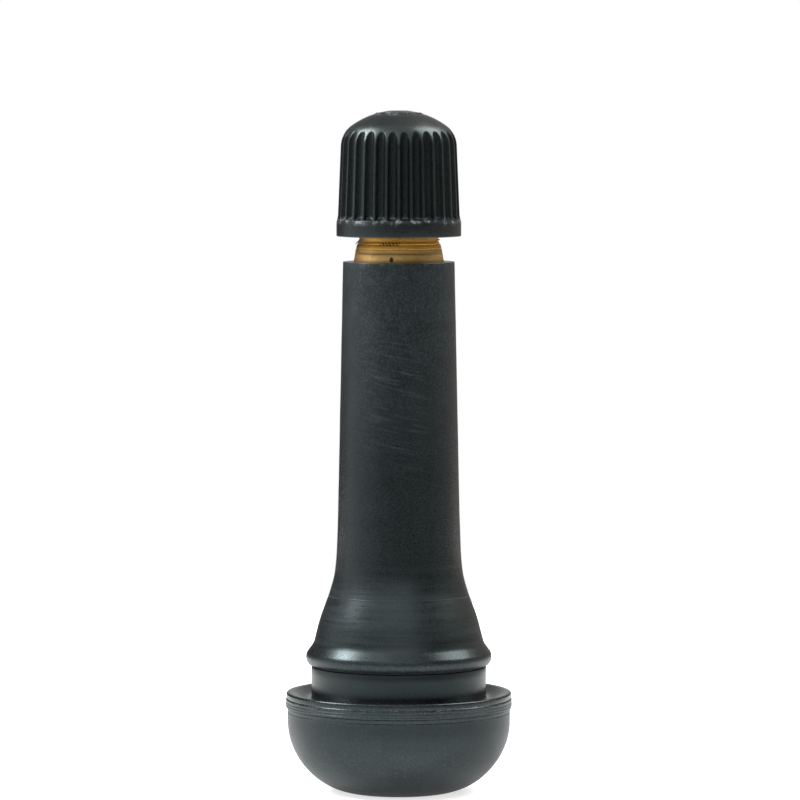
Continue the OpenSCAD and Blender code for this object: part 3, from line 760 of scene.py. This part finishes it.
for name, values in studio["lamps"].items():
    makeLamp(name, **values)


# pale paper, which the camera and the gloss see brighter than its shading
floorPaper = {"size": 0.17, "below": 0.02, "dim": (0.78, 0.78, 0.78), "pale": (0.82, 0.82, 0.82),
              "grain": {"Scale": 40.0, "Detail": 3.0}, "shown": (0.3, 0.7), "rough": 0.8, "specular": 0.1,
              "seen": 0.7, "reflected": 0.32}


def makeFloor():
    bm = bmesh.new()
    bmesh.ops.create_grid(bm, x_segments=8, y_segments=8, size=floorPaper["size"])
    bmesh.ops.translate(bm, verts=bm.verts[:], vec=(0, 0, -floorPaper["below"] * mm))
    mesh = bpy.data.meshes.new("floor")
    bm.to_mesh(mesh)
    bm.free()
    material, tree, shader, coords = newMaterial("pale_floor")
    grain = put(tree, "TexNoise", floorPaper["grain"])
    wire(tree, coords, grain, "Vector")
    shown = spread(tree, grain.outputs[0], *floorPaper["shown"])
    wire(tree, mixColor(tree, shown, floorPaper["dim"], floorPaper["pale"]), shader, "Base Color")
    shader.inputs["Roughness"].default_value = floorPaper["rough"]
    shader.inputs["Specular IOR Level"].default_value = floorPaper["specular"]
    path = put(tree, "LightPath").outputs
    glow = put(tree, "Emission", {"Color": (1, 1, 1, 1)})
    strength = plus(tree, times(tree, path["Is Camera Ray"], floorPaper["seen"]),
                    times(tree, path["Is Glossy Ray"], floorPaper["reflected"]))
    wire(tree, strength, glow, "Strength")
    both = put(tree, "AddShader")
    wire(tree, shader.outputs[0], both, 0)
    wire(tree, glow.outputs[0], both, 1)
    wire(tree, both.outputs[0], tree.nodes["Material Output"], "Surface")
    mesh.materials.append(material)
    floor = bpy.data.objects.new("floor", mesh)
    bpy.context.scene.collection.objects.link(floor)


makeFloor()


# white all round to the camera; for light and gloss the room has a lighter and a darker side
def makeWorld():
    world = bpy.data.worlds.new("studio")
    world.use_nodes = True
    bpy.context.scene.world = world
    tree = world.node_tree
    backdrop = tree.nodes["Background"]
    parts = put(tree, "SeparateXYZ")
    wire(tree, put(tree, "TexCoord").outputs["Generated"], parts, 0)
    turn, rise = turnOf(tree, parts), parts.outputs[2]
    room, upper, warmSide = (byTurn(tree, turn, studio[part]) for part in ("room", "upper", "warmSide"))
    light = mixColor(tree, spread(tree, rise, *studio["upperFrom"]), room, upper)
    light = mixColor(tree, spread(tree, rise, *studio["ceilingFrom"]), light, studio["ceiling"])
    light = mixColor(tree, warmSide, light, studio["warm"], blend="MULTIPLY")
    seen = put(tree, "LightPath").outputs["Is Camera Ray"]
    wire(tree, mixColor(tree, seen, light, (1.0, 1.0, 1.0)), backdrop, "Color")
    backdrop.inputs["Strength"].default_value = 1.0


makeWorld()

# the photo's viewpoint
view = {"lens": 229.5, "sensor": 36, "eye": (0.00011, -0.4757, 0.06694), "tilt": 3.635, "near": 0.01, "far": 20}

cameraData = bpy.data.cameras.new("camera")
cameraData.lens = view["lens"]
cameraData.sensor_width = view["sensor"]
cameraData.clip_start = view["near"]
cameraData.clip_end = view["far"]
camera = bpy.data.objects.new("camera", cameraData)
camera.location = view["eye"]
camera.rotation_euler = (math.radians(90 - view["tilt"]), 0, 0)
bpy.context.scene.collection.objects.link(camera)
bpy.context.scene.camera = camera
bpy.context.scene.view_settings.view_transform = "Standard"
print("studio set")
